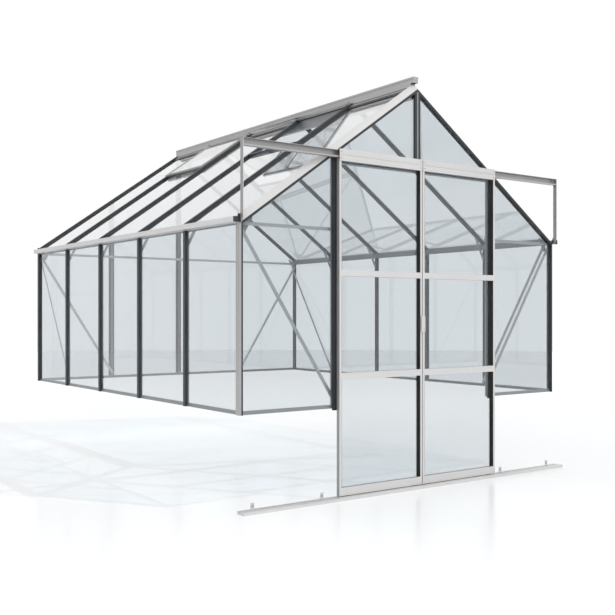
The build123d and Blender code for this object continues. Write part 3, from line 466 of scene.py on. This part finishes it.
# nodes with a second colour, which is painted shade: the test of a face, and the colour where
# it gives 0
TWO_SIDED = {
    "corner_posts": (facing_out, "inner"), "verges": (facing_out, "inner"),
    "rafters": (facing_along, "inner"), "wall_bars": (facing_along, "inner"),
    "left_stiles": (facing_along, "edge"), "right_stiles": (facing_along, "edge"),
    "left_rails": (facing_along, "edge"), "right_rails": (facing_along, "edge"),
    "left_header": (facing_along, "edge"), "right_header": (facing_along, "edge"),
    "door_track": (facing_along, "edge"), "track_struts": (facing_along, "edge"),
}
DARK = {
    "wall_caps": "z", "roof_caps": "slope", "gable_strips": "z", "corner_strips": "z",
    "verge_strips": "slope", "gutter_ends": "z", "ridge_seals": "y",
    "left_seals": "z", "right_seals": "z",
}
NYLON = ("left_rollers", "right_rollers", "left_guides", "right_guides")
ROOF_PANES = ("roof_glass", "vent_glass")
WALL_PANES = ("wall_glass", "gable_glass", "left_glass", "right_glass")


def dress(name, material):
    """Give a CAD node one material."""
    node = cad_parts[name]
    node.data.materials.clear()
    node.data.materials.append(material)


# ---- mesh helpers ----
def new_piece(context, name, mesh, material, body):
    """An object of the greenhouse that rides on a CAD body."""
    obj = bpy.data.objects.new(name, mesh)
    context.scene.collection.objects.link(obj)
    mesh.materials.append(material)
    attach(obj, body)


def turned_mesh(name, rings, segments):
    """A turned solid: rings of (radius, height) from the foot to the middle of the top."""
    mesh = bpy.data.meshes.new(name)
    bm = bmesh.new()
    turns = [2 * pi * n / segments for n in range(segments)]
    loops = [[bm.verts.new((radius * cos(turn), radius * sin(turn), height))
              for turn in turns] for radius, height in rings]
    for low, high in zip(loops, loops[1:]):
        for n in range(segments):
            after = (n + 1) % segments
            bm.faces.new((low[n], low[after], high[after], high[n]))
    bm.faces.new(loops[-1])
    bm.faces.new(list(reversed(loops[0])))
    bm.to_mesh(mesh)
    bm.free()
    return mesh


def joined_mesh(name, meshes):
    """One mesh from several."""
    bm = bmesh.new()
    for part in meshes:
        bm.from_mesh(part)
        bpy.data.meshes.remove(part)
    mesh = bpy.data.meshes.new(name)
    bm.to_mesh(mesh)
    bm.free()
    return mesh


def plate_mesh(name, outline, thick, matrix, bevel=0.0006):
    """A flat plate with softened edges, from an outline in its own plane."""
    bm = bmesh.new()
    face = bm.faces.new([bm.verts.new((x, y, 0)) for x, y in outline])
    grown = bmesh.ops.extrude_face_region(bm, geom=[face])
    bmesh.ops.translate(bm, vec=(0, 0, thick),
                        verts=[v for v in grown["geom"] if isinstance(v, bmesh.types.BMVert)])
    bmesh.ops.recalc_face_normals(bm, faces=bm.faces)
    bmesh.ops.bevel(bm, geom=bm.edges[:], offset=bevel, segments=2, affect="EDGES",
                    profile=0.6)
    bmesh.ops.transform(bm, matrix=matrix, verts=bm.verts)
    mesh = bpy.data.meshes.new(name)
    bm.to_mesh(mesh)
    bm.free()
    return mesh


def plane_at(origin, across=(1, 0, 0), up=(0, 0, 1)):
    """Matrix of a plane by its origin and two directions, with the plate's back on it."""
    x, y = Vector(across).normalized(), Vector(up).normalized()
    turn = Matrix((x, y, x.cross(y))).transposed().to_4x4()
    return Matrix.Translation(origin) @ turn


def oblong(left, right, foot, top):
    """Outline of an upright plate."""
    return [(left, foot), (right, foot), (right, top), (left, top)]


def placing_group():
    """Geometry Nodes that put a piece, made to a size, on every point, turned by its 'turn'."""
    group = bpy.data.node_groups.new("place_pieces", "GeometryNodeTree")
    face = group.interface
    face.new_socket(name="Points", in_out="INPUT", socket_type="NodeSocketGeometry")
    face.new_socket(name="Piece", in_out="INPUT", socket_type="NodeSocketObject")
    face.new_socket(name="Size", in_out="INPUT", socket_type="NodeSocketFloat")
    face.new_socket(name="Finish", in_out="INPUT", socket_type="NodeSocketMaterial")
    face.new_socket(name="Pieces", in_out="OUTPUT", socket_type="NodeSocketGeometry")
    nodes, links = group.nodes, group.links
    entry = nodes.new("NodeGroupInput")
    leave = nodes.new("NodeGroupOutput")
    info = nodes.new("GeometryNodeObjectInfo")
    info.inputs["As Instance"].default_value = True
    turn = nodes.new("GeometryNodeInputNamedAttribute")
    turn.data_type = "FLOAT_VECTOR"
    turn.inputs["Name"].default_value = "turn"
    angles = nodes.new("FunctionNodeEulerToRotation")
    place = nodes.new("GeometryNodeInstanceOnPoints")
    realize = nodes.new("GeometryNodeRealizeInstances")
    finish = nodes.new("GeometryNodeSetMaterial")
    links.new(entry.outputs["Piece"], info.inputs["Object"])
    links.new(entry.outputs["Points"], place.inputs["Points"])
    links.new(info.outputs["Geometry"], place.inputs["Instance"])
    links.new(turn.outputs["Attribute"], angles.inputs["Euler"])
    links.new(angles.outputs["Rotation"], place.inputs["Rotation"])
    links.new(entry.outputs["Size"], place.inputs["Scale"])
    links.new(place.outputs["Instances"], realize.inputs["Geometry"])
    links.new(realize.outputs["Geometry"], finish.inputs["Geometry"])
    links.new(entry.outputs["Finish"], finish.inputs["Material"])
    links.new(finish.outputs["Geometry"], leave.inputs["Pieces"])
    return group


def scatter(context, name, template, size, spots, material, body="frame"):
    """A piece at every spot, given as (place, outward direction), as one object.

    The template has its own size where size is 1.
    """
    mesh = bpy.data.meshes.new(name)
    mesh.from_pydata([tuple(place) for place, outward in spots], [], [])
    turns = mesh.attributes.new("turn", "FLOAT_VECTOR", "POINT")
    for n, (place, outward) in enumerate(spots):
        turns.data[n].vector = Vector(outward).to_track_quat("Z", "Y").to_euler()
    source = bpy.data.objects.new(name + "_template", template)
    context.scene.collection.objects.link(source)
    obj = bpy.data.objects.new(name, mesh)
    context.scene.collection.objects.link(obj)
    group = placing_group()
    modifier = obj.modifiers.new("place", "NODES")
    modifier.node_group = group
    values = {"Piece": source, "Size": size, "Finish": material}
    for item in group.interface.items_tree:
        if item.in_out == "INPUT" and item.name in values:
            modifier[item.identifier] = values[item.name]
    context.view_layer.update()
    ready = obj.evaluated_get(context.evaluated_depsgraph_get())
    placed = bpy.data.meshes.new_from_object(ready)
    obj.modifiers.clear()
    obj.data = placed
    placed.name = name
    bpy.data.meshes.remove(mesh)
    bpy.data.objects.remove(source)
    bpy.data.meshes.remove(template)
    bpy.data.node_groups.remove(group)
    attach(obj, body)


def pan_head():
    """A pan head with a round recess, of radius 1, standing on its seat."""
    return turned_mesh("pan_head", [(1, 0), (1, 0.3), (0.86, 0.52), (0.5, 0.66),
                                    (0.36, 0.66), (0.3, 0.3)], segments=18)


def hex_bolt():
    """A washer of radius 1, and a nut with the bolt's end in it, standing on its seat."""
    return joined_mesh("hex_bolt", [
        turned_mesh("washer", [(1, 0), (1, 0.12), (0.9, 0.18)], segments=20),
        turned_mesh("nut", [(0.74, 0.18), (0.74, 0.68), (0.64, 0.78)], segments=6),
        turned_mesh("end", [(0.36, 0.78), (0.36, 0.98), (0.28, 1.06)], segments=14)])


# ---- operators ----
class GREENHOUSE_OT_finish_frame(bpy.types.Operator):
    """Finish the aluminium, the dark cappings, the nylon and the glass"""

    bl_idname = "greenhouse.finish_frame"
    bl_label = "Finish frame"

    def execute(self, context):
        finish = context.scene.greenhouse_finish
        made = {}     # one material for all nodes with the same finish and direction
        for node, (kind, axis) in METAL.items():
            facing, second = TWO_SIDED.get(node, (None, ""))
            name = f"{kind}_aluminium_{axis}" + (f"_{second}" if second else "")
            if name not in made:
                colour = getattr(finish, f"{kind}_colour")
                roughness = DULLED.get(node, ROUGHNESS.get(kind, PLAIN))
                other = getattr(finish, f"{second}_colour") if second else None
                made[name] = extruded_aluminium(name, colour, axis, roughness, other,
                                                facing)
            dress(node, made[name])
        for node, axis in DARK.items():
            name = f"dark_capping_{axis}"
            if name not in made:
                made[name] = dark_plastic(name, finish.capping_colour, axis)
            dress(node, made[name])
        nylon = dark_plastic("nylon", finish.nylon_colour, "x", roughness=0.38)
        for node in NYLON:
            dress(node, nylon)
        for name, tint, coat, panes in (
                ("wall_pane", finish.wall_tint, 0.0, WALL_PANES),
                ("roof_pane", finish.roof_tint, finish.roof_coat, ROOF_PANES)):
            glass = pane_glass(name, tint, finish.shadow_tint, coat)
            for node in panes:
                dress(node, glass)
        return {"FINISHED"}


class GREENHOUSE_OT_door_screws(bpy.types.Operator):
    """Put the screws on the doors' header plates and handle"""

    bl_idname = "greenhouse.door_screws"
    bl_label = "Door screws"

    def execute(self, context):
        radius = context.scene.greenhouse_fasteners.screw_radius
        steel = turned_steel("door_screw_steel", context.scene.greenhouse_finish.steel_colour)
        outward = (0, -1, 0)
        from_end, from_middle = 0.016, 0.022
        for side in ("left", "right"):
            low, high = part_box(f"{side}_header")
            height = (low.z + high.z) / 2
            spots = [((x, low.y, z), outward) for x in (low.x + from_end, high.x - from_end)
                     for z in (height - from_middle, height + from_middle)]
            scatter(context, f"{side}_header_screws", pan_head(), radius, spots, steel,
                    f"door_{side}")
        from_edge, from_tip, small = 0.009, 0.014, 0.8
        low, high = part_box("door_handle")
        spots = [((high.x - from_edge, low.y, z), outward)
                 for z in (low.z + from_tip, high.z - from_tip)]
        scatter(context, "handle_screws", pan_head(), radius * small, spots, steel,
                "door_right")
        return {"FINISHED"}


class GREENHOUSE_OT_frame_bolts(bpy.types.Operator):
    """Put the bolts on the braces, knees, struts and lugs"""

    bl_idname = "greenhouse.frame_bolts"
    bl_label = "Frame bolts"
    brace_in = 0.039            # from a wall's outer face to the inner face of its braces
    strut_screw, lug_screw = 0.6, 0.75      # sizes beside the bolts'

    def execute(self, context):
        radius = context.scene.greenhouse_fasteners.bolt_radius
        steel = turned_steel("bolt_steel", context.scene.greenhouse_finish.steel_colour)
        scatter(context, "brace_bolts", hex_bolt(), radius,
                self.paired_braces() + self.front_wall_brace(), steel)
        scatter(context, "strut_screws", pan_head(), radius * self.strut_screw,
                self.struts(), steel)
        scatter(context, "lug_screws", pan_head(), radius * self.lug_screw, self.lugs(),
                steel)
        return {"FINISHED"}

    def paired_braces(self):
        """Both ends of the braces and knees that stand on the left and on the right."""
        to_corner, gable_drop, wall_drop = 0.0348, 0.035, 0.09
        corner, rear_corner = half - to_corner, rear - to_corner
        front_foot, rear_foot, wall_foot, past_jamb = 0.08, 0.05, 0.04, 0.005
        front_in, rear_in = front + self.brace_in, rear - self.brace_in
        wall = half - self.brace_in
        knee_foot, knee_head, knee_out = inner - 0.014, inner - 0.088, 0.006
        knee_ends = ((knee_foot, beam_foot - 0.062),
                     (knee_head, roof_height(knee_head, depth=0.052)))
        spots = []
        for side in (-1, 1):
            spots += [((side * corner, front_in, beam_foot - gable_drop), (0, 1, 0)),
                      ((side * (jamb + past_jamb), front_in, front_foot), (0, 1, 0)),
                      ((side * corner, rear_in, beam_foot - gable_drop), (0, -1, 0)),
                      ((side * jamb, rear_in, rear_foot), (0, -1, 0)),
                      ((side * wall, rear_corner, beam_foot - wall_drop), (-side, 0, 0)),
                      ((side * wall, bay_lines[-1], wall_foot), (-side, 0, 0))]
            spots += [((side * x, y - knee_out, z), (0, -1, 0))
                      for y in bay_lines for x, z in knee_ends]
        return spots

    def front_wall_brace(self):
        """Both ends of the brace in the right wall's front bay."""
        wall, inward = half - self.brace_in, (-1, 0, 0)
        to_post, over_beam_foot, over_sill = 0.062, 0.005, 0.04
        return [((wall, front + to_post, beam_foot + over_beam_foot), inward),
                ((wall, bay_lines[0], over_sill), inward)]

    def struts(self):
        """Two screws at a strut's head and one at its foot."""
        low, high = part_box("track_struts")
        strut_half = 0.02
        heights = (high.z - 0.012, high.z - 0.036, low.z + 0.022)
        return [((side * half, low.y + strut_half, z), (side, 0, 0))
                for side in (-1, 1) for z in heights]

    def lugs(self):
        """One screw in each lug of the ground rail."""
        rail_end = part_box("ground_rail")[1].x
        lug_face, lug_hole = front - 0.003, rail_top + 0.019
        outer_lug, inner_lug = rail_end - 0.110, rail_end - 0.655
        return [((side * x, lug_face, lug_hole), (0, -1, 0))
                for side in (-1, 1) for x in (outer_lug, inner_lug)]


class GREENHOUSE_OT_corner_plates(bpy.types.Operator):
    """Make the plates that join the posts to the verges, with their bolts"""

    bl_idname = "greenhouse.corner_plates"
    bl_label = "Corner plates"

    def execute(self, context):
        fasteners = context.scene.greenhouse_fasteners
        finish = context.scene.greenhouse_finish
        metal = extruded_aluminium("plate_aluminium", finish.beam_colour, "z")
        steel = turned_steel("plate_bolt_steel", finish.steel_colour)
        thick = fasteners.plate_thick
        # a leg down the post and an arm up the verge
        foot, elbow = beam_foot - 0.052, beam_foot + 0.012
        leg_out, leg_in = inner - 0.004, inner - 0.030
        arm_end, arm_top, arm_middle, arm_under = inner - 0.085, 0.064, 0.072, 0.080
        throat = (leg_in - 0.018, elbow - 0.030)
        outline = [(leg_out, foot), (leg_out, elbow),
                   (arm_end, roof_height(arm_end, arm_top)),
                   (arm_end, roof_height(arm_end, arm_under)), throat, (leg_in, foot)]
        arm_bolt = arm_end + 0.012
        bolts = (((leg_out + leg_in) / 2, foot + 0.014),
                 (arm_bolt, roof_height(arm_bolt, arm_middle)))
        gable_depth = 0.0482     # from a gable's outer face to the plates
        spots = []
        for end, y, inward in (("front", front + gable_depth, 1),
                               ("rear", rear - gable_depth - thick, -1)):
            face = y + (thick if inward > 0 else 0)
            for hand, side in (("left", -1), ("right", 1)):
                mesh = plate_mesh("corner_plate", [(side * x, z) for x, z in outline], thick,
                                  plane_at((0, y + thick, 0)))
                new_piece(context, f"corner_plate_{end}_{hand}", mesh, metal, "frame")
                spots += [((side * x, face, z), (0, inward, 0)) for x, z in bolts]
        small = 0.9
        scatter(context, "corner_plate_bolts", hex_bolt(), fasteners.bolt_radius * small,
                spots, steel)
        return {"FINISHED"}


class GREENHOUSE_OT_vent_stays(bpy.types.Operator):
    """Make the bars that hold the two open vents, with their pegs"""

    bl_idname = "greenhouse.vent_stays"
    bl_label = "Vent stays"

    def execute(self, context):
        fasteners = context.scene.greenhouse_fasteners
        finish = context.scene.greenhouse_finish
        metal = extruded_aluminium("stay_aluminium", finish.stay_colour, "slope")
        steel = turned_steel("stay_peg_steel", finish.stay_colour)
        hinge_x, reach = 0.035, 0.580     # the hinge, and from it to the stay's foot
        hinge_z = roof_height(hinge_x, depth=0.010)
        half_width = fasteners.stay_width / 2
        pegs = []
        # each open vent's hand, side, middle of its bay and opening
        for hand, side, y, opened in (
                ("left", -1, bay_lines[0] + bar_gap / 2, radians(16.5)),
                ("right", 1, bay_lines[2] + bar_gap / 2, radians(11.7))):
            lean = pitch - opened
            foot, top = (Vector((side * (hinge_x + down * cos(lean)), y,
                                 hinge_z - down * sin(lean)))
                         for down in (reach, reach - fasteners.stay_length))
            way = top - foot
            mesh = plate_mesh("vent_stay", oblong(-half_width, half_width, 0, way.length),
                              fasteners.stay_thick, plane_at(foot, (0, side, 0), way),
                              bevel=0.0008)
            new_piece(context, f"vent_stay_{hand}", mesh, metal, "frame")
            inward = Vector((0, 1, 0)).cross(way).normalized() * side
            pegs += [(foot + way * share, inward) for share in (0.15, 0.38, 0.61, 0.84)]
        scatter(context, "vent_stay_pegs", pan_head(), fasteners.peg_radius, pegs, steel)
        return {"FINISHED"}


class GREENHOUSE_OT_ridge_clips(bpy.types.Operator):
    """Put the clips along the ridge, one at the head of each rafter"""

    bl_idname = "greenhouse.ridge_clips"
    bl_label = "Ridge clips"

    def execute(self, context):
        finish = context.scene.greenhouse_finish
        metal = extruded_aluminium("clip_aluminium", finish.beam_colour, "y")
        half_width, shoulder, top, corner, thick = 0.009, 0.026, 0.030, 0.006, 0.0045
        shape = [(-half_width, 0), (half_width, 0), (half_width, shoulder), (corner, top),
                 (-corner, top), (-half_width, shoulder)]
        clip = plate_mesh("clip", shape, thick, plane_at((0, 0, 0), (0, 1, 0)), bevel=0.001)
        overlap = 0.004
        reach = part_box("ridge_flashing")[1].x - overlap
        spots = [((side * reach, y, roof_height(reach)), (0, 0, 1))
                 for side in (-1, 1) for y in bay_lines]
        scatter(context, "ridge_clips", clip, 1.0, spots, metal)
        return {"FINISHED"}


class GREENHOUSE_OT_end_caps(bpy.types.Operator):
    """Make the moulded ends of the jambs' cappings and the bumper between the leaves"""

    bl_idname = "greenhouse.end_caps"
    bl_label = "End caps"

    def execute(self, context):
        finish = context.scene.greenhouse_finish
        dark = dark_plastic("end_cap", finish.capping_colour, "z")
        near_edge, far_edge, half_height, thick, back = 0.016, 0.017, 0.012, 0.021, 0.0175
        for hand, side in (("left", -1), ("right", 1)):
            shape = oblong(side * (jamb - near_edge), side * (jamb + far_edge),
                           -half_height, half_height)
            mesh = plate_mesh("jamb_end", shape, thick, plane_at((0, front + back, 0)),
                              bevel=0.0025)
            new_piece(context, f"jamb_end_{hand}", mesh, dark, "frame")
        low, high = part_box("right_header")
        gap = low.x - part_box("left_header")[1].x
        half_width, height, thick, below_top = gap * 0.46, 0.024, 0.004, 0.002
        place = (low.x - gap / 2, low.y + thick, high.z - height - below_top)
        mesh = plate_mesh("bumper", oblong(-half_width, half_width, 0, height), thick,
                          plane_at(place), bevel=0.0004)
        new_piece(context, "leaf_bumper", mesh, dark, "door_right")
        return {"FINISHED"}


class GREENHOUSE_OT_stage(bpy.types.Operator):
    """Make the floor, the lamps, the surroundings and the camera"""

    bl_idname = "greenhouse.stage"
    bl_label = "Stage"

    def execute(self, context):
        stage = context.scene.greenhouse_stage
        self.floor(context, stage)
        self.surroundings(context, stage)
        key = self.lamp(context, "key", "AREA", stage.key_power, stage.key_place,
                        Vector(stage.key_target) - Vector(stage.key_place))
        key.size = stage.key_size
        sun = self.lamp(context, "sun", "SUN", stage.sun_strength, (0, 0, 0),
                        -Vector(stage.sun_towards))
        sun.angle = stage.sun_angle
        self.camera(context, stage)
        context.scene.view_settings.view_transform = "Standard"
        return {"FINISHED"}

    def camera(self, context, stage):
        """A level camera outside the front left corner."""
        camera = bpy.data.cameras.new("camera")
        camera.lens = stage.lens
        camera.sensor_width = 36.0
        camera.shift_y = stage.camera_shift
        camera.clip_end = 300
        obj = bpy.data.objects.new("camera", camera)
        obj.location = Vector(stage.camera_place) + Vector((0, front, 0))
        obj.rotation_euler = (radians(90), 0, -stage.camera_turn)
        context.scene.collection.objects.link(obj)
        context.scene.camera = obj

    def floor(self, context, stage):
        """A pale floor that shows the shadow of the frame and a soft reflection."""
        mesh = bpy.data.meshes.new("floor")
        sides = 180
        rim = [(stage.floor_radius * cos(turn), middle + stage.floor_radius * sin(turn), ground)
               for turn in (2 * pi * n / sides for n in range(sides))]
        mesh.from_pydata(rim, [], [tuple(range(sides))])
        floor = bpy.data.objects.new("floor", mesh)
        context.scene.collection.objects.link(floor)
        material, tree, shader, output = new_material("pale_floor")
        away = compare(tree, "DISTANCE", object_place(tree), (0, middle, ground))
        far = spread(tree, away["Value"], 0, 1, between=(4.5, 11.0))
        paint(tree, shader, stage.near_floor, stage.far_floor, far)
        shader.inputs["Roughness"].default_value = 0.2
        shader.inputs["Specular IOR Level"].default_value = 0.3
        # the floor's own glow: less where it mirrors, more far from the greenhouse
        mirror = tree.nodes.new("ShaderNodeFresnel").outputs[0]
        level = spread(tree, mirror, 0.42, 0.12, between=(0.04, 0.40))
        near_glow = calculate(tree, "MULTIPLY", level, seen_rays(tree, through=0.45))
        far_glow = calculate(tree, "MULTIPLY", seen_rays(tree, through=0.0), 0.3)
        glow = tree.nodes.new("ShaderNodeEmission")
        tree.links.new(calculate(tree, "MULTIPLY_ADD", far, far_glow, near_glow),
                       glow.inputs["Strength"])
        both = tree.nodes.new("ShaderNodeAddShader")
        tree.links.new(shader.outputs["BSDF"], both.inputs[0])
        tree.links.new(glow.outputs["Emission"], both.inputs[1])
        tree.links.new(both.outputs["Shader"], output.inputs["Surface"])
        mesh.materials.append(material)

    def surroundings(self, context, stage):
        """White behind the greenhouse, and a cooler sky that lights it."""
        world = bpy.data.worlds.new("studio")
        context.scene.world = world
        world.use_nodes = True
        tree = world.node_tree
        tree.nodes.clear()
        seen = tree.nodes.new("ShaderNodeMixShader")
        tree.links.new(seen_rays(tree), seen.inputs["Fac"])
        for socket, colour, strength in ((1, stage.sky_colour, stage.sky_strength),
                                         (2, (1, 1, 1), 1.0)):
            light = tree.nodes.new("ShaderNodeBackground")
            light.inputs["Color"].default_value = (*colour, 1)
            light.inputs["Strength"].default_value = strength
            tree.links.new(light.outputs[0], seen.inputs[socket])
        output = tree.nodes.new("ShaderNodeOutputWorld")
        tree.links.new(seen.outputs[0], output.inputs["Surface"])

    def lamp(self, context, name, kind, energy, place, aim):
        """A lamp at a place that shines in a direction."""
        light = bpy.data.lights.new(name, kind)
        light.energy = energy
        obj = bpy.data.objects.new(name, light)
        obj.location = place
        obj.rotation_euler = Vector(aim).to_track_quat("-Z", "Y").to_euler()
        context.scene.collection.objects.link(obj)
        return light


OPERATORS = (GREENHOUSE_OT_finish_frame, GREENHOUSE_OT_door_screws,
             GREENHOUSE_OT_frame_bolts, GREENHOUSE_OT_corner_plates,
             GREENHOUSE_OT_vent_stays, GREENHOUSE_OT_ridge_clips,
             GREENHOUSE_OT_end_caps, GREENHOUSE_OT_stage)
SETTINGS = (GreenhouseFinish, GreenhouseFasteners, GreenhouseStage)


class GREENHOUSE_PT_panel(bpy.types.Panel):
    """Lists the greenhouse's settings and operators"""

    bl_label = "Greenhouse"
    bl_idname = "GREENHOUSE_PT_panel"
    bl_space_type = "VIEW_3D"
    bl_region_type = "UI"
    bl_category = "Greenhouse"

    def draw(self, context):
        for group in ("greenhouse_finish", "greenhouse_fasteners", "greenhouse_stage"):
            settings = getattr(context.scene, group)
            for name in settings.__annotations__:
                self.layout.prop(settings, name)
        for operator in OPERATORS:
            self.layout.operator(operator.bl_idname)


def register():
    for cls in (*SETTINGS, *OPERATORS, GREENHOUSE_PT_panel):
        bpy.utils.register_class(cls)
    bpy.types.Scene.greenhouse_finish = PointerProperty(type=GreenhouseFinish)
    bpy.types.Scene.greenhouse_fasteners = PointerProperty(type=GreenhouseFasteners)
    bpy.types.Scene.greenhouse_stage = PointerProperty(type=GreenhouseStage)


def unregister():
    del bpy.types.Scene.greenhouse_stage
    del bpy.types.Scene.greenhouse_fasteners
    del bpy.types.Scene.greenhouse_finish
    for cls in reversed((*SETTINGS, *OPERATORS, GREENHOUSE_PT_panel)):
        bpy.utils.unregister_class(cls)


def main():
    register()
    bpy.ops.greenhouse.finish_frame()
    bpy.ops.greenhouse.door_screws()
    bpy.ops.greenhouse.frame_bolts()
    bpy.ops.greenhouse.corner_plates()
    bpy.ops.greenhouse.vent_stays()
    bpy.ops.greenhouse.ridge_clips()
    bpy.ops.greenhouse.end_caps()
    bpy.ops.greenhouse.stage()


if __name__ == "__main__":
    main()
